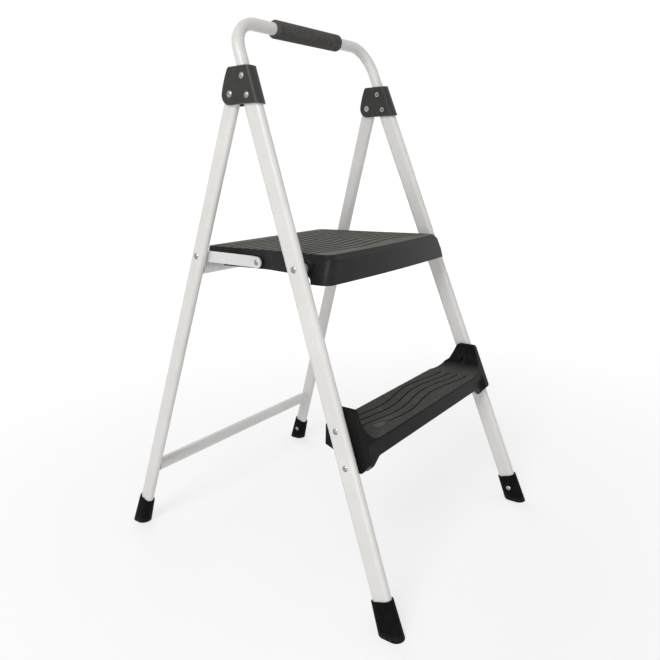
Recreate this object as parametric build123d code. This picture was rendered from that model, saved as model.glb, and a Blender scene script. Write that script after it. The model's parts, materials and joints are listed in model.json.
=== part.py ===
from build123d import *
import os
from cmath import rect
from math import asin, atan, atan2, ceil, cos, degrees, hypot, pi, radians, sin, tan

# Folding two-step stool, shown open. Millimetres and degrees.
# +Z is up, the front (where a user climbs) is -Y, and X = 0 is the plane of symmetry.
# Every side piece is made on the right (+X) and mirrored to the left.

# Stance
overall_depth = 606.0
floor_spread = 79.5  # leg centre line outside the side of the platform, at the floor
hinge_spread = 25.5  # the same at the height of the rear-leg hinge
hinge_height = 767.0
hinge_y = 25.63
hinge_spacing = 33.5  # hinge behind the front leg's centre line
fold_stop = 0.65  # folded, the feet meet this many degrees short of parallel legs

# Tubes
front_tube_depth = 31.0
rear_tube_depth = 26.3
leg_thickness = 15.0
tube_wall = 1.2
crossbar_diameter = 22.2
lower_crossbar_height = 119.0
front_leg_rise = 14.0  # end of the front legs above the hinge
leg_end_margin = 0.3  # the rear leg's rounded end is this much larger than the tube

# Handle loop, its flattened sleeve and the foam on it
handle_diameter = 19.0
handle_rise = 92.0  # axis of the top bar above the end of the front legs
handle_bend = 50.0
shoulder_depth = 21.4
shoulder_length = 17.0
spigot_clearance = 0.2
spigot_length = 29.0
neck_length = 7.0
grip_diameter = 28.0
grip_length = 174.0
grip_clearance = 0.3
grip_chamfer = 4.5

# Feet
front_sole_depth = 41.0
rear_sole_depth = 37.0
sole_width = 27.0
foot_height = 50.0
foot_wall = 2.8
foot_floor = 7.0
tread_groove_count = 4
tread_groove = 1.6
tread_groove_width = 2.4
tread_groove_pitch = 6.0
tread_groove_wall = 5.0
foot_rivet_height = 27.0

# Hinge brackets, measured from the hinge
bracket_rise = 38.0
bracket_half_thickness = 11.0
bracket_front_wall = 3.0
bracket_hinge_rim = 15.5
bracket_rear_top = 3.0
bracket_rounding = 9.0
bracket_rear_corner = 5.0
bracket_clearance = 0.3
swing_clearance = 1.5
rim_turn = 12.0  # where the curved rear edge leaves the rim round the hinge
top_rivet_rise = 24.0
lower_rivet_drop = 3.5

# Rivets and pins
rivet_radius = 3.0
rivet_head = 4.7
rivet_dome = 2.0
rivet_tail = 4.3
rivet_tail_height = 1.4
rivet_bore = 1.7
rivet_bore_depth = 5.0
pin_radius = 4.0
pin_clearance = 0.08
fixed_clearance = 0.03

# Platform, measured down from its top and along from its pivot or from the crossbar it rests on
deck_top = 533.5
pivot_drop = 18.5
crossbar_drop = 32.0
deck_front_reach = 33.0
deck_rear_reach = 19.8
deck_half_width = 160.5
deck_bow = 6.0
bevel_height = 7.5
bevel_width = 7.0
side_bevel = 1.2
skirt_depth = 42.8
side_depth = 30.5
side_draft = 5.0
front_draft = 4.0
ear_depth = 27.5  # from the top down to the level where the front corners are widest
ear_flare = 16.5
skirt_flare = 18.5
shoulder_flare = 8.0
top_flare = 5.0
flare_back = 90.0
flare_front = 6.0
deck_front_corner = 14.0
deck_rear_corner = 10.0
deck_wall = 3.0
deck_skin = 3.5
deck_edge = 1.5
skirt_step = 10.0
skirt_step_radius = 11.0
notch_reach = 23.2
notch_depth = 15.0
notch_radius = 9.0
rib_thickness = 2.6
rib_depth = 21.0
cross_rib_count = 3
long_rib_count = 6
saddle_clearance = 0.4

# Waves in the treads
wave_length = 216.0
wave_height = 7.0
wave_pitch = 17.5
wave_width = 1.8
wave_depth = 1.0
wave_step = 27.0  # between the points that shape a wave
deck_wave_count = 13
step_wave_count = 4
step_wave_rear = 18.5  # first wave from the rear edge of the lower tread

# Platform pivot
pivot_boss_radius = 11.0
pivot_boss_reach = 25.5
pivot_boss_depth = 26.0
bush_radius = 6.5
spacer_radius = 8.0
running_gap = 0.4

# Links
link_pivot_drop = 20.0
link_leg_rise = 20.5  # rivet on the rear leg above the crossbar's axis
link_width = 18.0
link_thickness = 3.0
link_pad_radius = 9.0
link_pad_reach = 6.7
link_leg_gap = 1.2
link_tab = 13.0

# Lower step, measured from its tread and from the front leg's centre line
tread_height = 267.5
tread_rear_reach = 62.7
step_skirt_depth = 28.5
step_rear_depth = 10.5
step_nose = 3.0
step_wall = 3.2
tab_depth = 40.5
tab_start = 34.0
tab_run = 16.0
tab_radius = 11.0
end_plate = 10.0
end_plate_rise = 50.0
end_plate_front = 13.9
end_plate_crest = 3.0
end_plate_rear = 37.0
end_plate_waist = 19.0
end_plate_fall = 9.5  # from the rear edge forward to the leg
end_plate_corner = 6.0
end_fillet = 36.0
fold_relief = 1.5  # the folded rear leg lies this much clear of the end plate
recess_clearance = 1.0
tread_rear_cut = 26.0
tread_rear_cut_width = 36.0
tread_corner = 9.0
step_rib_count = 7
step_rib_depth = 17.0
upper_step_rivet_rise = 20.0
lower_step_rivet_drop = 32.0
mark_length = 28.0
mark_width = 13.0
mark_depth = 0.4
mark_side = 125.0
mark_front = 28.0
mark_clear = 3.0  # the waves stop this far from the pad

# Derived frame
front_y = -overall_depth / 2 + front_sole_depth / 2
rear_y = overall_depth / 2 - rear_sole_depth / 2
floor_half_width = deck_half_width + floor_spread
hinge_half_width = deck_half_width + hinge_spread
front_slope = (hinge_y - hinge_spacing - front_y) / hinge_height
rear_slope = (rear_y - hinge_y) / hinge_height
front_lean = atan(front_slope)
rear_lean = atan(rear_slope)
side_slope = (floor_half_width - hinge_half_width) / hinge_height
side_tilt = atan(side_slope)
half_flat = leg_thickness / 2
side_normal = Vector(cos(side_tilt), 0, sin(side_tilt))
side_plane = Plane(origin=(floor_half_width, 0, 0), x_dir=(0, 1, 0), z_dir=side_normal)
far = 400.0  # longer than any cut needs to be


def front_axis_y(height):
    return front_y + height * front_slope


def rear_axis_y(height):
    return rear_y - height * rear_slope


def side_x(height):
    return floor_half_width - side_slope * height


def inner_flat_x(height):
    return side_x(height) - half_flat / cos(side_tilt)


def on_side(y, height):
    return Vector(side_x(height), y, height)


def flat(y, height):
    return (y, height / cos(side_tilt))


def leg_frame(axis_y):
    start = on_side(axis_y(0), 0)
    top = on_side(axis_y(hinge_height), hinge_height)
    return Plane(origin=start, x_dir=side_normal, z_dir=top - start)


front_frame = leg_frame(front_axis_y)
rear_frame = leg_frame(rear_axis_y)
front_run = 1 / front_frame.z_dir.Z  # length along a leg for each millimetre of height
rear_run = 1 / rear_frame.z_dir.Z

# Heights and places along the legs
front_leg_top = hinge_height + front_leg_rise
handle_height = front_leg_top + handle_rise
bracket_top = hinge_height + bracket_rise
bracket_bottom = hinge_height - bracket_hinge_rim
bracket_rivets_at = (hinge_height + top_rivet_rise, hinge_height - lower_rivet_drop)
step_rivets_at = (tread_height + upper_step_rivet_rise, tread_height - lower_step_rivet_drop)
pivot_height = deck_top - pivot_drop
upper_crossbar_height = deck_top - crossbar_drop
link_pivot_height = deck_top - link_pivot_drop
link_leg_height = upper_crossbar_height + link_leg_rise
pivot_y = front_axis_y(pivot_height)
link_leg_y = rear_axis_y(link_leg_height)
upper_crossbar_y = rear_axis_y(upper_crossbar_height)
deck_front = pivot_y - deck_front_reach
deck_rear = upper_crossbar_y + deck_rear_reach
skirt_bottom = deck_top - skirt_depth
pivot_boss_face = deck_half_width + pivot_boss_reach
link_pad_face = deck_half_width + link_pad_reach
step_y = front_axis_y(tread_height)
nose_height = tread_height - step_nose
tread_front = front_axis_y(nose_height) - (front_tube_depth / 2 + end_plate_front) / cos(front_lean)
tread_rear = step_y + tread_rear_reach
step_inner = side_x(tread_height) - (half_flat + end_plate) / cos(side_tilt)  # inner face of an end plate
tread_flat = step_inner - end_fillet / tan(pi / 4 - side_tilt / 2)  # half length of the level tread
step_skirt_bottom = tread_height - step_skirt_depth
step_tab_bottom = tread_height - tab_depth


def flat_fold_pivot_y():
    # Seen from the platform, the rivet on the rear leg has one place when open and one when folded.
    # The link is as long to both, so its pivot on the platform lies on their perpendicular bisector.
    hinge = complex(hinge_y, hinge_height)
    pivot = complex(pivot_y, pivot_height)
    leg_end = complex(link_leg_y, link_leg_height)
    folded_end = hinge + (leg_end - hinge) * rect(1, radians(fold_stop) - front_lean - rear_lean)
    unfolded = leg_end - pivot
    folded = (folded_end - pivot) * rect(1, front_lean - pi / 2)
    middle = (unfolded + folded) / 2
    apart = unfolded - folded
    drop = link_pivot_height - pivot_height
    return pivot_y + middle.real + (middle.imag - drop) * apart.imag / apart.real


link_pivot_y = flat_fold_pivot_y()


def flat_oval(depth, thickness):
    return SlotOverall(depth, thickness, rotation=90)


def section_tube(frame, depth, low, high):
    wall = flat_oval(depth, leg_thickness)
    wall -= flat_oval(depth - 2 * tube_wall, leg_thickness - 2 * tube_wall)
    return extrude(frame.offset(low) * wall, amount=high - low)


def side_prism(outline, half_thickness):
    return extrude(side_plane * outline, amount=half_thickness, both=True)


def side_hole(y, height, radius):
    return side_prism(Pos(*flat(y, height)) * Circle(radius), far / 4)


def x_rod(y, height, radius, low, high):
    return extrude(Plane(origin=(low, y, height), z_dir=(1, 0, 0)) * Circle(radius), amount=high - low)


def outside_of(shape, plane):
    return split(shape, bisect_by=plane, keep=Keep.TOP)


def inside_of(shape, plane):
    return split(shape, bisect_by=plane, keep=Keep.BOTTOM)


def side_offset(distance):
    return side_plane.offset(distance)


def mirrored(shape):
    return mirror(shape, about=Plane.YZ)


def pair(shape):
    return Compound(children=[shape, mirrored(shape)])


def rivet_profile(radius, grip, bored):
    # Half section: domed head above z = grip, clinched tail below z = 0.
    start = rivet_bore_depth - rivet_tail_height if bored else -rivet_tail_height
    points = [(0, start)]
    if bored:
        points += [(rivet_bore, start), (rivet_bore, -rivet_tail_height)]
    tail = radius + rivet_tail - rivet_radius
    head = rivet_head + (radius - rivet_radius) / 2
    points += [(tail, -rivet_tail_height), (tail, 0), (radius, 0), (radius, grip), (head, grip)]
    ball = (head**2 + rivet_dome**2) / (2 * rivet_dome)
    half_angle = asin(head / ball) / 2
    crown = (0, grip + rivet_dome)
    shoulder = (ball * sin(half_angle), grip + rivet_dome - ball * (1 - cos(half_angle)))
    edges = Polyline(*points) + ThreePointArc((head, grip), shoulder, crown) + Line(crown, (0, start))
    return Plane.XZ * make_face(edges)


def rivet(frame, radius, grip, bored=True):
    return frame * revolve(rivet_profile(radius, grip, bored), Axis.Z)


def side_rivet(y, height, half_grip, head_out=True):
    facing = side_normal if head_out else -side_normal
    seat = on_side(y, height) - facing * half_grip
    return rivet(Plane(origin=seat, z_dir=facing), rivet_radius, 2 * half_grip)


def front_leg():
    low = (foot_floor + front_tube_depth / 2 * sin(front_lean)) * front_run
    leg = section_tube(front_frame, front_tube_depth, low, front_leg_top * front_run)
    for height in (bracket_rivets_at[1], *step_rivets_at):
        leg -= side_hole(front_axis_y(height), height, rivet_radius + fixed_clearance)
    leg -= x_rod(pivot_y, pivot_height, pin_radius + fixed_clearance, 0, far)
    return leg


def rear_leg():
    low = (foot_floor + rear_tube_depth / 2 * sin(rear_lean)) * rear_run
    round_end = rear_tube_depth / 2 + leg_end_margin
    leg = section_tube(rear_frame, rear_tube_depth, low, hinge_height * rear_run + 2 * round_end)
    above = extrude(rear_frame.offset(hinge_height * rear_run) * Rectangle(far, far), amount=far / 4)
    leg -= above - x_rod(hinge_y, hinge_height, round_end, 0, far)
    leg -= x_rod(hinge_y, hinge_height, pin_radius + pin_clearance, 0, far)
    leg -= x_rod(link_leg_y, link_leg_height, pin_radius + fixed_clearance, 0, far)
    return leg


def foot(frame, run, lean, depth, sole_depth, axis_y):
    sole = Plane(origin=on_side(axis_y(0), 0), x_dir=(1, 0, 0), z_dir=(0, 0, 1))
    rim = frame.offset(foot_height * run)
    outer = loft([sole * flat_oval(sole_depth, sole_width),
                  rim * flat_oval(depth + 2 * foot_wall, leg_thickness + 2 * foot_wall)], ruled=True)
    socket_low = (foot_floor + depth / 2 * sin(lean)) * run
    socket = flat_oval(depth + 2 * fixed_clearance, leg_thickness + 2 * fixed_clearance)
    boot = outer - extrude(frame.offset(socket_low) * socket, amount=far)
    groove = Box(sole_width - 2 * tread_groove_wall, tread_groove_width, 2 * tread_groove)
    for index in range(tread_groove_count):
        y = axis_y(0) + (index - (tread_groove_count - 1) / 2) * tread_groove_pitch
        boot -= Pos(side_x(0), y, 0) * groove
    return boot


def boot_side(height):
    # Half thickness of a boot, which narrows from the sole to the rim.
    rim = half_flat + foot_wall
    return sole_width / 2 + (rim - sole_width / 2) * height / foot_height


def foot_rivet(axis_y):
    # Short rivet through the boot and the inner wall of the tube, head on the inner side.
    grip = tube_wall + boot_side(foot_rivet_height - rivet_head) - half_flat
    seat = on_side(axis_y(foot_rivet_height), foot_rivet_height) - side_normal * (half_flat - tube_wall)
    return rivet(Plane(origin=seat, z_dir=-side_normal), rivet_radius, grip, bored=False)


def handle_path():
    top = Vector(side_x(handle_height), front_axis_y(handle_height), handle_height)
    low = on_side(front_axis_y(front_leg_top), front_leg_top)
    low += front_frame.z_dir * (shoulder_length + neck_length)
    left_top = Vector(-top.X, top.Y, top.Z)
    left_low = Vector(-low.X, low.Y, low.Z)
    return FilletPolyline(low, top, left_top, left_low, radius=handle_bend)


def handle_solid(inset):
    path = handle_path()
    leg_end = front_frame.offset(front_leg_top * front_run)
    radius = handle_diameter / 2 - inset
    shoulder = flat_oval(shoulder_depth - 2 * inset, leg_thickness - 2 * inset)
    bore = leg_thickness - 2 * tube_wall - 2 * spigot_clearance
    spigot = flat_oval(shoulder_depth - 2 * inset, bore - 2 * inset)
    solid = sweep(sections=Plane(origin=path @ 0, z_dir=path % 0) * Circle(radius), path=path)
    side = extrude(leg_end * shoulder, amount=shoulder_length)
    neck = [leg_end.offset(shoulder_length) * shoulder,
            leg_end.offset(shoulder_length + neck_length) * Circle(radius)]
    side += loft(neck, ruled=True)
    side += extrude(leg_end.offset(-spigot_length) * spigot, amount=spigot_length)
    return solid + side + mirrored(side)


def handle_loop():
    loop = handle_solid(0) - handle_solid(tube_wall)
    for height in bracket_rivets_at:
        hole = side_hole(front_axis_y(height), height, rivet_radius + fixed_clearance)
        loop -= hole
        loop -= mirrored(hole)
    return loop


def foam_grip():
    centre_y = front_axis_y(handle_height)
    sleeve = x_rod(centre_y, handle_height, grip_diameter / 2, -grip_length / 2, grip_length / 2)
    sleeve = chamfer(sleeve.edges(), grip_chamfer)
    bore = handle_diameter / 2 + grip_clearance
    return sleeve - x_rod(centre_y, handle_height, bore, -far, far)


def bracket_outline():
    reach = (front_tube_depth / 2 + bracket_front_wall) / cos(front_lean)
    turn = radians(rim_turn)
    rim = flat(hinge_y + bracket_hinge_rim * cos(turn), hinge_height + bracket_hinge_rim * sin(turn))
    rear_top = flat(hinge_y + bracket_rear_top, bracket_top)
    edges = TangentArc(rim, rear_top, tangent=(-sin(turn), cos(turn)))
    edges += Polyline(
        rear_top,
        flat(front_axis_y(bracket_top) - reach, bracket_top),
        flat(front_axis_y(bracket_bottom) - reach, bracket_bottom),
        flat(hinge_y, bracket_bottom),
        flat(hinge_y, hinge_height),
        rim)
    body = make_face(edges)
    corner = body.vertices().sort_by_distance(rear_top)[0]
    body = fillet(corner, bracket_rear_corner)
    return body + Pos(*flat(hinge_y, hinge_height)) * Circle(bracket_hinge_rim)


def leg_channel(depth, low, high):
    # Room for a flattened tube inside the bracket, from one length along the leg to another.
    gap = half_flat + bracket_clearance
    room = flat_oval(depth + 2 * bracket_clearance, 2 * gap)
    return extrude(front_frame.offset(low) * room, amount=high - low)


def hinge_bracket():
    body = side_prism(bracket_outline(), bracket_half_thickness)
    along_leg = body.edges().filter_by(lambda edge: abs(edge.tangent_at(0).dot(front_frame.z_dir)) > 0.999)
    body = fillet(along_leg, bracket_rounding)
    leg_end = front_leg_top * front_run
    shoulder_end = leg_end + shoulder_length
    body -= leg_channel(front_tube_depth, leg_end - far / 4, leg_end)
    body -= leg_channel(shoulder_depth, leg_end - bracket_clearance, shoulder_end + neck_length)
    round_hole = Circle(handle_diameter / 2 + bracket_clearance)
    body -= extrude(front_frame.offset(shoulder_end) * round_hole, amount=far / 4)
    swing = rear_tube_depth / 2 + swing_clearance
    hinge = flat(hinge_y, hinge_height)
    below = make_face(Polyline(
        flat(hinge_y - swing, hinge_height),
        flat(hinge_y + swing, hinge_height),
        flat(hinge_y + far / 4, hinge_height - far / 2),
        flat(front_axis_y(hinge_height - far / 2), hinge_height - far / 2),
        flat(front_axis_y(bracket_bottom), bracket_bottom),
        flat(front_axis_y(hinge_height), hinge_height),
        close=True))
    rear_mouth = Pos(hinge[0] + far / 8, hinge[1]) * Rectangle(far / 4, 2 * swing)
    body -= side_prism(below + Pos(*hinge) * Circle(swing) + rear_mouth, half_flat + bracket_clearance)
    for height in bracket_rivets_at:
        body -= side_hole(front_axis_y(height), height, rivet_radius + fixed_clearance)
    return body - x_rod(hinge_y, hinge_height, pin_radius + fixed_clearance, 0, far)


def bracket_rivets():
    made = [side_rivet(front_axis_y(h), h, bracket_half_thickness) for h in bracket_rivets_at]
    return Compound(children=made + [mirrored(r) for r in made])


def hinge_pin():
    # The shank lies along X so that both hinges share one axis; the ends sit square on the cheeks.
    reach = bracket_half_thickness
    shank = x_rod(hinge_y, hinge_height, pin_radius, 0, far)
    shank = outside_of(shank, side_offset(-reach))
    shank = inside_of(shank, side_offset(reach))
    seat = on_side(hinge_y, hinge_height)
    head = rivet(Plane(origin=seat + side_normal * (reach - 1), z_dir=side_normal), pin_radius, 1)
    head = outside_of(head, side_offset(reach))
    tail = rivet(Plane(origin=seat - side_normal * reach, z_dir=side_normal), pin_radius, 1, bored=False)
    tail = inside_of(tail, side_offset(-reach))
    return shank + head + tail


def wave(y, half_length):
    # One line of a tread: a sine wave along X, drawn through evenly spaced points.
    count = ceil(2 * half_length / wave_step)
    places = [half_length * (2 * index / count - 1) for index in range(count + 1)]
    line = Spline([(x, y + wave_height * sin(2 * pi * x / wave_length)) for x in places])
    return trace(line, wave_width)


def grooves(first_y, count, half_length, level):
    cuts = Part()
    for index in range(count):
        band = wave(first_y - index * wave_pitch, half_length)
        cuts += extrude(Pos(0, 0, level) * band, amount=wave_depth, both=True)
    return cuts


def beside_leg(height, offset):
    return front_axis_y(height) + offset / cos(front_lean)


def end_outline():
    # Side view of one end of the lower step: it stands along the leg and reaches back under the tread.
    half = front_tube_depth / 2
    top = tread_height + end_plate_rise
    rear = step_y + end_plate_rear
    rear_bottom = tread_height - step_rear_depth
    leg_bottom = rear_bottom - end_plate_fall
    outline = make_face(Polyline(
        (beside_leg(top, -half - end_plate_front), top),
        (beside_leg(top, end_plate_crest), top),
        (rear, tread_height + end_plate_waist),
        (tread_rear, tread_height),
        (tread_rear, rear_bottom),
        (rear, rear_bottom),
        (beside_leg(leg_bottom, half), leg_bottom),
        (beside_leg(step_tab_bottom, half), step_tab_bottom),
        (beside_leg(step_tab_bottom, -half), step_tab_bottom),
        (beside_leg(step_skirt_bottom, -half - end_plate_front), step_skirt_bottom),
        close=True))
    rounded = [v for v in outline.vertices() if v.Y > top - 1 or v.Y < step_skirt_bottom + 1]
    return fillet(rounded, end_plate_corner)


def tread_outline():
    # Side view of the tread: a deep front skirt and a shallow rear one.
    rear_bottom = tread_height - step_rear_depth
    outline = make_face(Polyline(
        (tread_front, step_tab_bottom), (tread_front, tread_height), (tread_rear, tread_height),
        (tread_rear, rear_bottom), (tread_rear - 2 * step_wall, rear_bottom),
        (tread_front + 2 * step_wall, step_tab_bottom), close=True))
    nose = outline.vertices().sort_by_distance((tread_front, tread_height))[0]
    return fillet(nose, step_nose)


def step_front_view():
    # Front view of the right half: the tread curves up into the end, the skirt runs down to a tab.
    edge = floor_half_width
    top = tread_height + end_plate_rise
    tab_x = step_inner - tab_start
    outline = make_face(Polyline(
        (0, tread_height), (0, step_skirt_bottom), (tab_x, step_skirt_bottom),
        (tab_x + tab_run, step_tab_bottom),
        (edge, step_tab_bottom), (edge, top), (step_inner - side_slope * end_plate_rise, top),
        (step_inner, tread_height), close=True))
    bends = [v for v in outline.vertices() if tab_x - 1 < v.X < tab_x + tab_run + 1]
    outline = fillet(bends, tab_radius)
    inside_corner = outline.vertices().sort_by_distance((step_inner, tread_height))[0]
    return fillet(inside_corner, end_fillet)


def step_plan():
    # Plan of the right half: the front skirt sweeps forward into the end, the rear corner is cut away.
    flare = (step_inner - tread_corner, tread_front)
    flare_tip = (step_inner, tread_front - tread_corner)
    rear = tread_rear - tread_rear_cut
    edges = TangentArc(flare, flare_tip, tangent=(1, 0))
    edges += Polyline(flare_tip, (far, flare_tip[1]), (far, rear), (step_inner, rear),
                      (step_inner - tread_rear_cut_width, tread_rear), (0, tread_rear),
                      (0, tread_front), flare)
    return make_face(edges)


def step_room():
    # The underside is open between the skirts and the ends.
    cut = step_inner - tread_rear_cut_width
    rear = tread_rear - tread_rear_cut
    outline = make_face(Polyline(
        (-step_inner, tread_front), (step_inner, tread_front), (step_inner, rear), (cut, tread_rear),
        (-cut, tread_rear), (-step_inner, rear), close=True))
    room = offset(outline, amount=-step_wall, kind=Kind.INTERSECTION)
    return extrude(room, amount=tread_height - deck_skin)


def step_ribs():
    level = tread_height - deck_skin - step_rib_depth / 2
    middle = (tread_rear + tread_front) / 2
    ribs = Pos(0, middle, level) * Box(2 * step_inner, rib_thickness, step_rib_depth)
    for index in range(step_rib_count):
        x = (index - (step_rib_count - 1) / 2) * 2 * step_inner / (step_rib_count + 1)
        ribs += Pos(x, middle, level) * Box(rib_thickness, tread_rear - tread_front, step_rib_depth)
    return ribs & extrude(Plane.YZ * tread_outline(), amount=far, both=True) & step_room()


def lower_step():
    front_view = extrude(Plane.XZ * step_front_view(), amount=far)
    plan = extrude(step_plan(), amount=2 * far)
    tread = extrude(Plane.YZ * tread_outline(), amount=step_inner)
    end = extrude(Plane.YZ * end_outline(), amount=far)
    end &= Pos(tread_flat + far / 2, 0, tread_height) * Box(far, 2 * far, far)
    half = (tread + end) & front_view & plan
    half = inside_of(half, side_offset(-half_flat))
    behind = front_tube_depth / 2 + swing_clearance
    relief = make_face(Polyline(
        flat(beside_leg(0, behind), 0), flat(beside_leg(far, behind), far),
        flat(front_axis_y(far) + far, far), flat(front_axis_y(0) + far, 0), close=True))
    half -= side_prism(relief, half_flat + fold_relief)
    step = half + mirrored(half) - step_room() + step_ribs()
    for height in step_rivets_at:
        hole = side_hole(front_axis_y(height), height, rivet_radius + fixed_clearance)
        recess = side_hole(front_axis_y(height), height, rivet_tail + recess_clearance)
        hole += inside_of(recess, side_offset(-half_flat - end_plate / 2))
        step -= hole
        step -= mirrored(hole)
    mark_y = tread_front + mark_front
    mark_end = -mark_side + mark_length / 2 + mark_clear
    bare = Pos(mark_end - far / 2, mark_y, tread_height) * Box(far, mark_width + 2 * mark_clear, far)
    step -= grooves(tread_rear - step_wave_rear, step_wave_count, tread_flat, tread_height) - bare
    pad = Pos(-mark_side, mark_y, tread_height) * Ellipse(mark_length / 2, mark_width / 2)
    return step - extrude(pad, amount=mark_depth, both=True)


def step_rivets():
    made = []
    for height in step_rivets_at:
        grip = leg_thickness + end_plate / 2
        seat = on_side(front_axis_y(height), height) + side_normal * (half_flat - grip)
        made.append(rivet(Plane(origin=seat, z_dir=side_normal), rivet_radius, grip, bored=False))
    return Compound(children=made + [mirrored(r) for r in made])


def crossbar(height):
    bar = Circle(crossbar_diameter / 2) - Circle(crossbar_diameter / 2 - tube_wall)
    plane = Plane(origin=(0, rear_axis_y(height), height), z_dir=(1, 0, 0))
    half = inside_of(extrude(plane * bar, amount=far), side_offset(-half_flat))
    return half + mirrored(half)


def deck_outline(half_rear, half_front, front, rear):
    right_front = (half_front, front)
    left_front = (-half_front, front)
    flare_start = pivot_y + flare_back
    flare_end = pivot_y + flare_front
    outline = Polyline(right_front, (half_front, flare_end), (half_rear, flare_start), (half_rear, rear),
                       (-half_rear, rear), (-half_rear, flare_start), (-half_front, flare_end), left_front)
    outline += ThreePointArc(left_front, (0, front - deck_bow), right_front)
    face = make_face(outline)
    face = fillet(face.vertices().sort_by(Axis.Y)[:2], deck_front_corner)
    return fillet(face.vertices().sort_by(Axis.Y)[-2:], deck_rear_corner)


def deck_form(inset, top, bottom):
    # Four plans one above the other: the front corners are widest at the bottom and draw in towards the top.
    sections = []
    shoulder = deck_top - bevel_height
    ears = deck_top - ear_depth
    levels = ((bottom, skirt_flare), (ears, ear_flare), (shoulder, shoulder_flare), (top, top_flare))
    for height, flare in levels:
        down = max(shoulder - height, 0) / (shoulder - skirt_bottom)
        bevel = 1 - max(height - shoulder, 0) / bevel_height
        side = deck_half_width + side_bevel * bevel + side_draft * down - inset
        front = deck_front - bevel_width * bevel - front_draft * down + inset
        rear = deck_rear + side_bevel * bevel + side_draft * down - inset
        sections.append(Plane.XY.offset(height) * deck_outline(side, side + flare, front, rear))
    return loft(sections, ruled=True)


def deck_trim():
    # Side view of what the skirt leaves open: behind the front corners, and round the rear crossbar.
    step = pivot_y - skirt_step
    notch = upper_crossbar_y - notch_reach
    side_bottom = deck_top - side_depth
    notch_top = deck_top - notch_depth
    trim = make_face(Polyline(
        (step, skirt_bottom - far), (step, side_bottom), (notch, side_bottom), (notch, notch_top),
        (far, notch_top), (far, skirt_bottom - far), close=True))
    front_bend = trim.vertices().sort_by_distance((step, side_bottom))[0]
    trim = fillet(front_bend, skirt_step_radius)
    rear_bend = trim.vertices().sort_by_distance((notch, notch_top))[0]
    return extrude(Plane.YZ * fillet(rear_bend, notch_radius), amount=far, both=True)


def deck_ribs():
    level = deck_top - deck_skin - rib_depth / 2
    span = deck_rear - deck_front
    ribs = Part()
    for index in range(cross_rib_count):
        y = deck_front + span * (index + 1) / (cross_rib_count + 1.5)
        ribs += Pos(0, y, level) * Box(far, rib_thickness, rib_depth)
    for index in range(long_rib_count):
        x = (index - (long_rib_count - 1) / 2) * 2 * deck_half_width / (long_rib_count + 1)
        ribs += Pos(x, (deck_rear + deck_front) / 2, level) * Box(rib_thickness, span, rib_depth)
    saddle = crossbar_diameter / 2 + saddle_clearance
    return ribs - x_rod(upper_crossbar_y, upper_crossbar_height, saddle, -far, far)


def platform():
    shell = deck_form(0, deck_top, skirt_bottom)
    rim = shell.faces().sort_by(Axis.Z)[-1].edges()
    shell = fillet(rim, deck_edge)
    cavity = deck_form(deck_wall, deck_top - deck_skin, skirt_bottom - deck_edge)
    shell -= cavity
    shell -= deck_trim()
    boss_back = pivot_boss_face - pivot_boss_depth
    boss = x_rod(pivot_y, pivot_height, pivot_boss_radius, boss_back, pivot_boss_face)
    pad = x_rod(link_pivot_y, link_pivot_height, link_pad_radius, link_pad_face - deck_wall, link_pad_face)
    shell += boss + mirrored(boss) + pad + mirrored(pad)
    deck = shell + (deck_ribs() & cavity)
    hole = x_rod(pivot_y, pivot_height, bush_radius + fixed_clearance, 0, far)
    deck -= hole
    deck -= mirrored(hole)
    middle = (deck_front + deck_rear + (deck_wave_count - 1) * wave_pitch) / 2
    return deck - grooves(middle, deck_wave_count, deck_half_width + skirt_flare, deck_top)


def platform_bush():
    low = pivot_boss_face - pivot_boss_depth
    bush = x_rod(pivot_y, pivot_height, bush_radius, low, pivot_boss_face)
    return bush - x_rod(pivot_y, pivot_height, pin_radius + pin_clearance, 0, far)


def pivot_spacer():
    tube = x_rod(pivot_y, pivot_height, spacer_radius, pivot_boss_face + running_gap, far)
    tube = inside_of(tube, side_offset(-half_flat))
    return tube - x_rod(pivot_y, pivot_height, pin_radius + fixed_clearance, 0, far)


def platform_pin():
    low = pivot_boss_face - pivot_boss_depth - running_gap
    shank = inside_of(x_rod(pivot_y, pivot_height, pin_radius, low, far), side_offset(half_flat))
    seat = on_side(pivot_y, pivot_height)
    head = rivet(Plane(origin=seat + side_normal * (half_flat - 1), z_dir=side_normal), pin_radius, 1)
    head = outside_of(head, side_offset(half_flat))
    tail = x_rod(pivot_y, pivot_height, pin_radius + rivet_tail - rivet_radius, low - rivet_tail_height, low)
    return shank + head + tail


def link_tab_outer():
    return inner_flat_x(link_leg_height) - link_leg_gap


def link():
    # Pressed bar: flat ends on the platform and the leg, with a set between them.
    near = link_pad_face + running_gap
    away = link_tab_outer() - link_thickness
    start = link_pivot_y - link_width
    bend_in = link_pivot_y + link_tab
    bend_out = link_leg_y - link_tab
    end = link_leg_y + link_width
    strip = make_face(Polyline(
        (near, start), (near, bend_in), (away, bend_out), (away, end),
        (away + link_thickness, end), (away + link_thickness, bend_out),
        (near + link_thickness, bend_in), (near + link_thickness, start), close=True))
    bar = extrude(Plane.XY.offset(link_pivot_height - far / 2) * strip, amount=far)
    reach = link_leg_y - link_pivot_y
    rise = link_leg_height - link_pivot_height
    middle = Pos(link_pivot_y + reach / 2, link_pivot_height + rise / 2)
    slot = middle * SlotCenterToCenter(hypot(reach, rise), link_width, rotation=degrees(atan2(rise, reach)))
    bar &= extrude(Plane.YZ * slot, amount=far)
    bar -= x_rod(link_leg_y, link_leg_height, pin_radius + pin_clearance, 0, far)
    return bar - x_rod(link_pivot_y, link_pivot_height, rivet_radius + fixed_clearance, 0, far)


def link_rivet():
    near = link_pad_face + running_gap
    frame = Plane(origin=(near, link_pivot_y, link_pivot_height), z_dir=(1, 0, 0))
    whole = rivet(frame, rivet_radius, link_thickness, bored=False)
    return split(whole, bisect_by=Plane(origin=(near, 0, 0), z_dir=(1, 0, 0)), keep=Keep.TOP)


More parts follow.
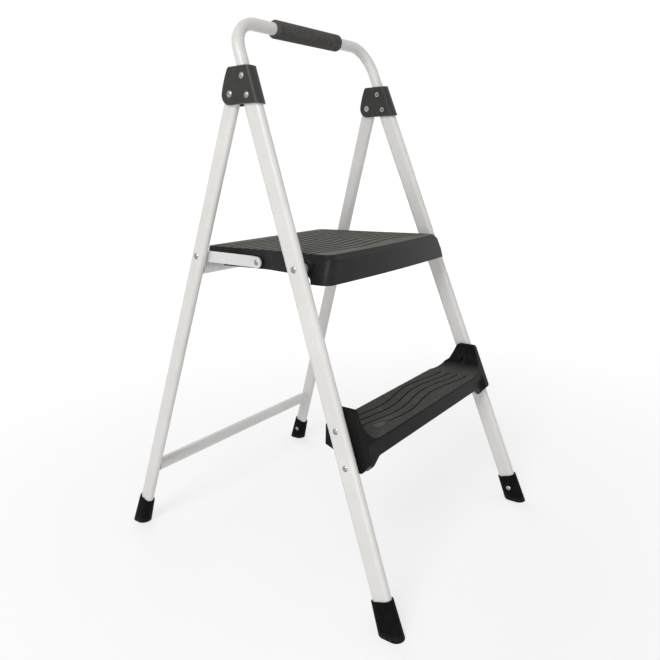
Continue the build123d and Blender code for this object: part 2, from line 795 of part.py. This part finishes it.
def link_leg_rivet():
    low = link_tab_outer() - link_thickness - running_gap
    shank = inside_of(x_rod(link_leg_y, link_leg_height, pin_radius, low, far), side_offset(half_flat))
    seat = on_side(link_leg_y, link_leg_height)
    head = rivet(Plane(origin=seat + side_normal * (half_flat - 1), z_dir=side_normal), pin_radius, 1)
    head = outside_of(head, side_offset(half_flat))
    tail = x_rod(link_leg_y, link_leg_height, pin_radius + rivet_tail - rivet_radius,
                 low - rivet_tail_height, low)
    return shank + head + tail


def write(name, shape):
    export_step(shape, f"parts/{name}.step")


def write_sides(name, shape):
    write(f"{name}_right", shape)
    write(f"{name}_left", mirrored(shape))


os.makedirs("parts", exist_ok=True)

front_hole = side_hole(front_axis_y(foot_rivet_height), foot_rivet_height, rivet_radius + fixed_clearance)
front_hole = inside_of(front_hole, side_offset(0))
rear_hole = side_hole(rear_axis_y(foot_rivet_height), foot_rivet_height, rivet_radius + fixed_clearance)
rear_hole = inside_of(rear_hole, side_offset(0))

write_sides("front_leg", front_leg() - front_hole)
write_sides("rear_leg", rear_leg() - rear_hole)
front_boot = foot(front_frame, front_run, front_lean, front_tube_depth, front_sole_depth, front_axis_y)
rear_boot = foot(rear_frame, rear_run, rear_lean, rear_tube_depth, rear_sole_depth, rear_axis_y)
write_sides("front_foot", front_boot - front_hole)
write_sides("rear_foot", rear_boot - rear_hole)
write("front_foot_rivets", pair(foot_rivet(front_axis_y)))
write("rear_foot_rivets", pair(foot_rivet(rear_axis_y)))
write("handle_loop", handle_loop())
write("foam_grip", foam_grip())
write_sides("hinge_bracket", hinge_bracket())
write("bracket_rivets", bracket_rivets())
write("hinge_pins", pair(hinge_pin()))
write("lower_step", lower_step())
write("step_rivets", step_rivets())
write("upper_crossbar", crossbar(upper_crossbar_height))
write("lower_crossbar", crossbar(lower_crossbar_height))
write("platform", platform())
write("platform_bushes", pair(platform_bush()))
write("pivot_spacers", pair(pivot_spacer()))
write("platform_pivot_pins", pair(platform_pin()))
write_sides("link", link())
write_sides("link_rivet", link_rivet())
write("link_leg_rivets", pair(link_leg_rivet()))
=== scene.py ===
import json
import math

import bmesh
import bpy
from mathutils import Matrix, Vector


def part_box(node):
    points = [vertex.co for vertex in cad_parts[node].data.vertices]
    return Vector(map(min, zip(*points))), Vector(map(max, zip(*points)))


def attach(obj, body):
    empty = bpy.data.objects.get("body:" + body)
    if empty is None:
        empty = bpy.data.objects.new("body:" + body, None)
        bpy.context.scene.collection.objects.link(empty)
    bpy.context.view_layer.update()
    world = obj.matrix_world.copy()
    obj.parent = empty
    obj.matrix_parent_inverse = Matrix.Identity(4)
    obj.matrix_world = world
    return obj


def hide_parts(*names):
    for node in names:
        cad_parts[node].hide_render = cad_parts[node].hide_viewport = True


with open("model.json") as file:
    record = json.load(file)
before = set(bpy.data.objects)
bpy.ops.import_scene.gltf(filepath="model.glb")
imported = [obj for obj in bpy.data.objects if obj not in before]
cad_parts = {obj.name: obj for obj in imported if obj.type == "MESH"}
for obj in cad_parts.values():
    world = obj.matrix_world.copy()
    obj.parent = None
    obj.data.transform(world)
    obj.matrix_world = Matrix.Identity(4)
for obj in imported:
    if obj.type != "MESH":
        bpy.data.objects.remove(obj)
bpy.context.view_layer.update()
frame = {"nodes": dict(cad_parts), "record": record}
scene = bpy.context.scene
scene.view_settings.view_transform = "Standard"
print("stage: frame loaded with", len(frame["nodes"]), "nodes")


# A socket that can be added, multiplied and so on; each step adds a Math node
class Wire:
    def __init__(self, nodes, socket):
        self.nodes = nodes
        self.socket = socket

    def maths(self, operation, first, second):
        return self.nodes.add("ShaderNodeMath", {"operation": operation}, {0: first, 1: second})

    def __add__(self, other):
        return self.maths("ADD", self, other)

    def __radd__(self, other):
        return self.maths("ADD", other, self)

    def __sub__(self, other):
        return self.maths("SUBTRACT", self, other)

    def __rsub__(self, other):
        return self.maths("SUBTRACT", other, self)

    def __mul__(self, other):
        return self.maths("MULTIPLY", self, other)

    def __rmul__(self, other):
        return self.maths("MULTIPLY", other, self)

    def larger(self, other):
        return self.maths("MAXIMUM", self, other)

    def sine(self):
        return self.maths("SINE", self, 0.0)

    def size(self):
        return self.maths("ABSOLUTE", self, 0.0)


# A node tree and the one way to put nodes in it
class Nodes:
    def __init__(self, tree):
        self.tree = tree

    def add(self, kind, settings=None, inputs=None, output=0):
        node = self.tree.nodes.new(kind)
        for key, value in (settings or {}).items():
            setattr(node, key, value)
        for key, value in (inputs or {}).items():
            self.feed(node.inputs[key], value)
        return Wire(self, node.outputs[output])

    def feed(self, socket, value):
        if isinstance(value, Wire):
            self.tree.links.new(value.socket, socket)
        else:
            socket.default_value = value

    # 0 up to low, then a straight climb to 1 at high
    def spread(self, value, low, high):
        return self.add("ShaderNodeMapRange", {"clamp": True}, {0: value, 1: low, 2: high, 3: 0.0, 4: 1.0})

    # Climbs to 1 from low to full, and falls back to 0 from fall to end
    def plateau(self, value, low, full, fall, end):
        return self.spread(value, low, full) * (1.0 - self.spread(value, fall, end))

    # 1 for what the camera sees, straight or in a shiny or clear surface
    def seenRays(self):
        paths = self.add("ShaderNodeLightPath").socket.node.outputs
        kinds = ("Is Camera Ray", "Is Glossy Ray", "Is Transmission Ray")
        camera, glossy, through = [Wire(self, paths[kind]) for kind in kinds]
        return camera.larger(glossy.larger(through))


# A material on the Principled shader, with the textures that the finishes share
class Finish(Nodes):
    def __init__(self, name):
        self.material = bpy.data.materials.new(name)
        self.material.use_nodes = True
        super().__init__(self.material.node_tree)
        self.shader = self.tree.nodes["Principled BSDF"]
        self.place = self.add("ShaderNodeTexCoord", output="Object")

    def set(self, **sockets):
        for key, value in sockets.items():
            self.feed(self.shader.inputs[key.replace("_", " ")], value)

    def noise(self, size, detail, rough=0.5):
        inputs = {"Vector": self.place, "Scale": 1.0 / size, "Detail": detail, "Roughness": rough}
        return self.add("ShaderNodeTexNoise", {}, inputs, "Fac")

    def patches(self, size, detail, low=0.35, high=0.7, rough=0.5):
        return self.spread(self.noise(size, detail, rough), low, high)

    def cells(self, size):
        return self.add("ShaderNodeTexVoronoi", {}, {"Vector": self.place, "Scale": 1.0 / size}, "Distance")

    def blend(self, amount, first, second):
        return self.add("ShaderNodeMix", {"data_type": "RGBA"}, {0: amount, 6: first, 7: second}, 2)

    def bump(self, height, depth, strength=1.0, under=None):
        inputs = {"Height": height, "Distance": depth, "Strength": strength}
        if under:
            inputs["Normal"] = under
        return self.add("ShaderNodeBump", {}, inputs, "Normal")

    def axes(self):
        split = self.add("ShaderNodeSeparateXYZ", {}, {0: self.place})
        return [Wire(self, output) for output in split.socket.node.outputs]

    def upFacing(self):
        normal = self.add("ShaderNodeTexCoord", output="Normal")
        return self.add("ShaderNodeSeparateXYZ", {}, {0: normal}, "Z")


def tone(grey, warm=0.0):
    return (grey * (1.0 + warm), grey, grey * (1.0 - warm), 1.0)


# Powder coat on the tubes and links: fine orange peel, faint clouding and specks
coat = {"white": 0.70, "shade": 0.65, "warm": 0.026,
        "cloud": {"size": 0.09, "detail": 4.0},
        "speck": {"size": 0.0011, "detail": 2.0, "low": 0.66, "high": 0.74},
        "speckShare": 0.18, "speckShade": 0.7,
        "peel": {"size": 0.0022, "detail": 2.0}, "peelDepth": 0.00006,
        "rough": 0.27, "roughCloud": 0.08, "roughSpeck": 0.1, "shine": 0.5}
linkCoat = dict(coat, white=0.66, shade=0.60, warm=0.0)


def powderCoat(name, look):
    finish = Finish(name)
    cloud = finish.patches(**look["cloud"])
    speck = finish.patches(**look["speck"])
    colour = finish.blend(cloud, tone(look["white"], look["warm"]), tone(look["shade"], look["warm"]))
    specks = tone(look["shade"] * look["speckShade"], look["warm"])
    finish.set(Base_Color=finish.blend(speck * look["speckShare"], colour, specks),
               Roughness=look["rough"] + cloud * look["roughCloud"] + speck * look["roughSpeck"],
               Specular_IOR_Level=look["shine"],
               Normal=finish.bump(finish.noise(**look["peel"]), look["peelDepth"]))
    return finish.material


# Moulded plastic: spark-eroded grain; upward-facing treads painted paler, partly grey scuffs and partly
# painted light and painted reflection; ridges between the waves painted paler as a painted highlight
moulding = {"grain": {"size": 0.0009, "detail": 3.0, "rough": 0.6}, "grainDepth": 0.00012,
            "pits": 0.00144, "pitShare": 0.4,
            "scuff": {"size": 0.02, "detail": 6.0, "low": 0.45, "high": 0.75, "rough": 0.65},
            "speckle": {"size": 0.0024, "detail": 2.0, "low": 0.35, "high": 0.65},
            "wallSpeckle": 0.3, "treadSpeckle": 0.35, "upFrom": 0.6, "upFull": 0.98,
            "rough": 0.29, "roughUp": 0.5, "roughScuff": 0.08, "roughGrain": 0.06}
waveLines = {"pitch": 0.0175, "length": 0.216, "height": 0.007, "depth": 0.001,
             "paleFrom": 0.7, "paleFull": 0.3}  # the tread's colour begins at these shares of the depth
deckTop = {"level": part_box("platform")[1].z, "fade": 0.05, "middle": 0.00197, "half": 0.1139, "edge": 0.001,
           "ridgeFrom": 0.04, "ridgeFull": 0.55, "crown": 0.0009}
# The last three step entries darken a band beside each groove: painted shade
stepTop = {"level": 0.2675, "fade": 0.0375, "first": -0.14252, "rows": 4, "rowEdge": 0.1, "half": 0.165,
           "endEdge": 0.004, "grooveShade": 0.85, "grooveShadeFrom": 0.80, "grooveShadeFull": 0.95}
pad = {"colour": (0.15, 0.153, 0.14, 1.0), "level": 0.2671, "edge": 0.0001, "end": -0.108, "endEdge": 0.002}
# Each look's tread colours are paler than its walls: partly grey scuffs, partly painted light from above and
# painted reflection on the tops
deckLook = {"dark": (0.0120, 0.0129, 0.0128, 1.0), "worn": (0.021, 0.022, 0.021, 1.0),
            "tread": (0.128, 0.133, 0.115, 1.0), "treadWorn": (0.180, 0.186, 0.163, 1.0), "shine": 0.14}
stepLook = {"dark": (0.0080, 0.0080, 0.0080, 1.0), "worn": (0.014, 0.014, 0.0135, 1.0),
            "tread": (0.080, 0.084, 0.071, 1.0), "treadWorn": (0.109, 0.114, 0.098, 1.0), "shine": 0.05}
bracketLook = {"dark": (0.030, 0.032, 0.029, 1.0), "worn": (0.042, 0.044, 0.040, 1.0),
               "tread": (0.042, 0.044, 0.040, 1.0), "treadWorn": (0.050, 0.052, 0.048, 1.0), "shine": 0.2}


# Distance from one wave line, and a sine that is 1 on every line
def waves(x, y, line):
    bend = (x * (math.tau / waveLines["length"])).sine() * waveLines["height"]
    along = y - bend - line
    return along, (along * (math.tau / waveLines["pitch"]) + math.pi / 2).sine()


# Ridges between the deck's wave lines: the colour is painted paler on them as a painted highlight and stays
# dark in the grooves as painted shade; the same mask raises them in the bump
def deckRidgeCrownsAndHighlights(finish, x, y):
    along, turn = waves(x, y, deckTop["middle"])
    beyond = finish.spread(along.size(), deckTop["half"] - deckTop["edge"], deckTop["half"])
    crownsAndHighlights = finish.spread(0.5 - turn * 0.5, deckTop["ridgeFrom"], deckTop["ridgeFull"])
    return crownsAndHighlights.larger(beyond)


# Painted shade in a band beside the step's grooves; the front one stops short of the pad
def stepGrooveShade(finish, x, y):
    along, turn = waves(x, y, stepTop["first"])
    apart = waveLines["pitch"] / 2
    edge = waveLines["pitch"] * stepTop["rowEdge"]
    frontLine = waveLines["pitch"] * (1 - stepTop["rows"])
    rows = finish.plateau(along, frontLine - apart, frontLine - apart + edge, apart - edge, apart)
    length = 1.0 - finish.spread(x.size(), stepTop["half"] - stepTop["endEdge"], stepTop["half"])
    front = 1.0 - finish.spread(along, frontLine + apart - edge, frontLine + apart)
    beside = 1.0 - finish.spread(x, pad["end"], pad["end"] + pad["endEdge"])
    lines = finish.spread(turn, stepTop["grooveShadeFrom"], stepTop["grooveShadeFull"])
    return lines * rows * length * (1.0 - front * beside)


# 1 from just under a tread's level, where its grooves begin, fading out above it
def atTread(finish, height, tread):
    level = tread["level"]
    low = level - waveLines["depth"] * waveLines["paleFrom"]
    full = level - waveLines["depth"] * waveLines["paleFull"]
    return finish.plateau(height, low, full, level, level + tread["fade"])


def atPad(finish, height):
    level, edge = pad["level"], pad["edge"]
    return finish.plateau(height, level - 2 * edge, level - edge, level + edge, level + 2 * edge)


def share(first, second, part):
    return first * (1.0 - part) + second * part


def mouldedPlastic(name, look):
    finish = Finish(name)
    grain = finish.noise(**moulding["grain"])
    pits = finish.cells(moulding["pits"])
    scuff = finish.patches(**moulding["scuff"])
    speckle = finish.patches(**moulding["speckle"])
    x, y, height = finish.axes()
    onDeck = atTread(finish, height, deckTop)
    onStep = atTread(finish, height, stepTop)
    ridgeCrownAndHighlight = deckRidgeCrownsAndHighlights(finish, x, y)
    up = finish.spread(finish.upFacing(), moulding["upFrom"], moulding["upFull"])
    # Upward-facing tread tops take the paler tread colour, partly scuffs and partly painted light and painted
    # reflection; the deck's grooves and a band beside each step groove keep the dark wall colour as painted
    # shade
    topScuffAndPaintedLightMask = up * (onDeck * ridgeCrownAndHighlight + onStep * (1.0 - stepGrooveShade(finish, x, y) * stepTop["grooveShade"]))
    walls = finish.blend(share(scuff, speckle, moulding["wallSpeckle"]), look["dark"], look["worn"])
    treadScuffAndPaintedLight = finish.blend(scuff, look["tread"], look["treadWorn"])
    treadScuffAndPaintedLight = finish.blend(speckle * moulding["treadSpeckle"], treadScuffAndPaintedLight, look["worn"])
    treadScuffAndPaintedLight = finish.blend(up * atPad(finish, height), treadScuffAndPaintedLight, pad["colour"])
    crowned = finish.bump(ridgeCrownAndHighlight * onDeck, deckTop["crown"])
    texture = share(grain, pits, moulding["pitShare"])
    dull = up * moulding["roughUp"] + scuff * moulding["roughScuff"] + grain * moulding["roughGrain"]
    finish.set(Base_Color=finish.blend(topScuffAndPaintedLightMask, walls, treadScuffAndPaintedLight),
               Roughness=moulding["rough"] + dull,
               Specular_IOR_Level=look["shine"],
               Normal=finish.bump(texture, moulding["grainDepth"], under=crowned))
    return finish.material


# Rubber boots: matt, with a bloom and a grubby band near the floor
rubber = {"dark": 0.003, "pale": 0.008,
          "bloom": {"size": 0.012, "detail": 5.0, "low": 0.4, "high": 0.72},
          "dirt": {"size": 0.004, "detail": 4.0, "low": 0.3, "high": 0.7},
          "dirtColour": (0.06, 0.055, 0.05, 1.0), "dirtShare": 0.5, "dirtHeight": 0.012,
          "grain": {"size": 0.0012, "detail": 3.0}, "grainDepth": 0.00012,
          "rough": 0.52, "roughBloom": 0.2, "shine": 0.05}


def bootRubber(name):
    finish = Finish(name)
    bloom = finish.patches(**rubber["bloom"])
    height = finish.axes()[2]
    nearFloor = 1.0 - finish.spread(height, 0.0, rubber["dirtHeight"])
    dirt = nearFloor * finish.patches(**rubber["dirt"])
    colour = finish.blend(bloom, tone(rubber["dark"]), tone(rubber["pale"]))
    finish.set(Base_Color=finish.blend(dirt * rubber["dirtShare"], colour, rubber["dirtColour"]),
               Roughness=rubber["rough"] + bloom * rubber["roughBloom"],
               Specular_IOR_Level=rubber["shine"],
               Normal=finish.bump(finish.noise(**rubber["grain"]), rubber["grainDepth"]))
    return finish.material


# Closed-cell foam: small pores in a matt skin; the pores are painted darker as painted shade
foam = {"dark": 0.064, "pale": 0.094, "warm": 0.06, "mottle": {"size": 0.005, "detail": 4.0},
        "pore": 0.0014, "skinFrom": 0.12, "skinFull": 0.5, "poreDepth": 0.0003, "poreStrength": 0.8,
        "poreShare": 0.6, "poreShade": 0.4, "rough": 0.86, "roughMottle": 0.08, "shine": 0.2}


def gripFoam(name):
    finish = Finish(name)
    skin = finish.spread(finish.cells(foam["pore"]), foam["skinFrom"], foam["skinFull"])
    mottle = finish.patches(**foam["mottle"])
    colour = finish.blend(mottle, tone(foam["dark"], foam["warm"]), tone(foam["pale"], foam["warm"]))
    # Darker colour inside the pores: painted shade
    paintedPoreShade = foam["poreShare"] - skin * foam["poreShare"]
    finish.set(Base_Color=finish.blend(paintedPoreShade, colour, tone(foam["dark"] * foam["poreShade"])),
               Roughness=foam["rough"] - mottle * foam["roughMottle"],
               Specular_IOR_Level=foam["shine"],
               Normal=finish.bump(skin, foam["poreDepth"], foam["poreStrength"]))
    return finish.material


# Zinc-plated steel: bright, with soft tumbling marks
zinc = {"bright": 0.38, "brightWarm": 0.005, "dull": 0.22, "dullWarm": 0.015,
        "cloud": {"size": 0.003, "detail": 4.0},
        "marks": {"size": 0.0016, "detail": 5.0, "rough": 0.7}, "markDepth": 0.00006,
        "rough": 0.24, "roughCloud": 0.16}


def zincPlate(name):
    finish = Finish(name)
    cloud = finish.patches(**zinc["cloud"])
    bright = tone(zinc["bright"], zinc["brightWarm"])
    dull = tone(zinc["dull"], zinc["dullWarm"])
    finish.set(Base_Color=finish.blend(cloud, bright, dull),
               Metallic=1.0,
               Roughness=zinc["rough"] + cloud * zinc["roughCloud"],
               Normal=finish.bump(finish.noise(**zinc["marks"]), zinc["markDepth"]))
    return finish.material


# Nylon bushes and spacers: waxy, greyed by grease
nylon = {"pale": (0.32, 0.31, 0.28, 1.0), "greased": (0.22, 0.21, 0.19, 1.0),
         "cloud": {"size": 0.006, "detail": 4.0},
         "wax": {"size": 0.002, "detail": 2.0}, "waxDepth": 0.00005,
         "rough": 0.4, "roughCloud": 0.12}


def bushNylon(name):
    finish = Finish(name)
    cloud = finish.patches(**nylon["cloud"])
    finish.set(Base_Color=finish.blend(cloud, nylon["pale"], nylon["greased"]),
               Roughness=nylon["rough"] + cloud * nylon["roughCloud"],
               Normal=finish.bump(finish.noise(**nylon["wax"]), nylon["waxDepth"]))
    return finish.material


finishes = {
    "white_coat": powderCoat("whitePowderCoat", coat),
    "link_coat": powderCoat("paleLinkCoat", linkCoat),
    "black_moulding": mouldedPlastic("deckMoulding", deckLook),
    "foot_rubber": bootRubber("bootRubber"),
    "grip_foam": gripFoam("gripFoam"),
    "zinc_steel": zincPlate("zincPlate"),
    "bush_nylon": bushNylon("greyedNylon"),
}
bracketMoulding = mouldedPlastic("bracketMoulding", bracketLook)
ownFinish = {"lower_step": mouldedPlastic("stepMoulding", stepLook),
             "hinge_bracket_left": bracketMoulding, "hinge_bracket_right": bracketMoulding}

for part in frame["record"]["subparts"]:
    slots = frame["nodes"][part["node"]].data.materials
    slots.clear()
    slots.append(ownFinish.get(part["node"], finishes[part["material_slot"]]))
print("stage: finishes set on the frame")


def meshObject(name, mesh):
    data = bpy.data.meshes.new(name)
    mesh.to_mesh(data)
    mesh.free()
    piece = bpy.data.objects.new(name, data)
    scene.collection.objects.link(piece)
    return piece


# Foam sleeve round the top of the handle
sleeve = {"chamfer": 0.0045, "ringStep": 0.006, "sides": 64, "bore": 0.0098, "weld": 1e-6, "sharpAngle": 0.5}


def sleeveProfile(half, radius):
    cut = sleeve["chamfer"]
    count = int(2 * (half - cut) / sleeve["ringStep"])
    skin = [(-half + cut + 2 * (half - cut) * step / count, radius) for step in range(count + 1)]
    ends = [(half, radius - cut), (half, sleeve["bore"]), (-half, sleeve["bore"]), (-half, radius - cut)]
    return skin + ends


def turnAboutX(name, profile, centre):
    mesh = bmesh.new()
    points = [mesh.verts.new((x, 0.0, r)) for x, r in profile]
    rim = [mesh.edges.new(pair) for pair in zip(points, points[1:] + points[:1])]
    bmesh.ops.spin(mesh, geom=points + rim, cent=(0, 0, 0), axis=(1, 0, 0), angle=math.tau,
                   steps=sleeve["sides"], use_merge=True)
    bmesh.ops.remove_doubles(mesh, verts=mesh.verts, dist=sleeve["weld"])
    bmesh.ops.recalc_face_normals(mesh, faces=mesh.faces)
    bmesh.ops.translate(mesh, verts=mesh.verts, vec=centre)
    for face in mesh.faces:
        face.smooth = True
    for edge in mesh.edges:
        edge.smooth = edge.calc_face_angle(0.0) < sleeve["sharpAngle"]
    return meshObject(name, mesh)


gripLow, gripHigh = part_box("foam_grip")
gripSize = gripHigh - gripLow
gripProfile = sleeveProfile(gripSize.x / 2, gripSize.z / 2)
foamSleeve = turnAboutX("foamSleeve", gripProfile, (gripLow + gripHigh) / 2)
foamSleeve.data.materials.append(finishes["grip_foam"])
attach(foamSleeve, "front_frame")
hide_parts("foam_grip")
print("stage: foam sleeve made")


# White room: a pale floor that fades out to the white background
studio = {"floor": 0.86, "floorRough": 0.9, "floorHalf": 40.0, "floorGlow": 0.58, "glowLevel": 1.1,
          "fadeFrom": 0.5, "fadeTo": 2.2, "ambient": 0.50}


def paleFloor():
    mesh = bmesh.new()
    bmesh.ops.create_grid(mesh, x_segments=1, y_segments=1, size=studio["floorHalf"])
    floor = meshObject("paleFloor", mesh)
    finish = Finish("paleFloor")
    finish.set(Base_Color=tone(studio["floor"]), Roughness=studio["floorRough"])
    glow = finish.add("ShaderNodeEmission", {}, {"Color": tone(1.0), "Strength": studio["glowLevel"]})
    out = finish.add("ShaderNodeVectorMath", {"operation": "LENGTH"}, {0: finish.place}, "Value")
    fade = finish.spread(out, studio["fadeFrom"], studio["fadeTo"])
    amount = studio["floorGlow"] + fade * (1.0 - studio["floorGlow"])
    lit = Wire(finish, finish.shader.outputs[0])
    mixed = finish.add("ShaderNodeMixShader", {}, {0: finish.seenRays() * amount, 1: lit, 2: glow})
    finish.feed(finish.tree.nodes["Material Output"].inputs["Surface"], mixed)
    floor.data.materials.append(finish.material)


def whiteRoom():
    world = bpy.data.worlds.new("whiteRoom")
    world.use_nodes = True
    scene.world = world
    nodes = Nodes(world.node_tree)
    backdrop = nodes.tree.nodes["Background"]
    nodes.feed(backdrop.inputs["Color"], tone(1.0))
    nodes.feed(backdrop.inputs["Strength"], studio["ambient"] + nodes.seenRays() * (1.0 - studio["ambient"]))


lamps = {
    "key": {"place": (-3.0, -0.6, 2.7), "size": 1.6, "watts": 58.0},
    "fill": {"place": (-2.0, -1.8, 0.3), "size": 0.5, "watts": 10.0},
    "back": {"place": (1.6, 2.6, 2.6), "size": 2.0, "watts": 26.0},
}
aim = Vector((0.0, 0.0, 0.45))


def addLamp(name, settings):
    light = bpy.data.lights.new(name, "AREA")
    light.size = settings["size"]
    light.energy = settings["watts"]
    lamp = bpy.data.objects.new(name, light)
    lamp.location = settings["place"]
    lamp.rotation_euler = (aim - lamp.location).to_track_quat("-Z", "Y").to_euler()
    lamp.visible_camera = False
    scene.collection.objects.link(lamp)


shot = {"place": (-0.9232, -0.6953, 0.6604), "azimuth": -53.18, "pitch": 14.26, "roll": -1.32,
        "focalPixels": 643.86, "framePixels": 660.0, "sensor": 36.0, "clipStart": 0.05}


def addCamera():
    data = bpy.data.cameras.new("photoCamera")
    data.sensor_width = shot["sensor"]
    data.sensor_height = shot["sensor"]
    data.lens = shot["focalPixels"] / shot["framePixels"] * shot["sensor"]
    data.clip_start = shot["clipStart"]
    camera = bpy.data.objects.new("photoCamera", data)
    turn = Matrix.Rotation(math.radians(shot["azimuth"]), 4, "Z")
    tilt = Matrix.Rotation(math.radians(90.0 - shot["pitch"]), 4, "X")
    roll = Matrix.Rotation(math.radians(shot["roll"]), 4, "Z")
    camera.matrix_world = Matrix.Translation(shot["place"]) @ turn @ tilt @ roll
    scene.collection.objects.link(camera)
    scene.camera = camera


paleFloor()
whiteRoom()
for lampName, lampSettings in lamps.items():
    addLamp(lampName, lampSettings)
addCamera()
print("stage: floor, light and camera set")
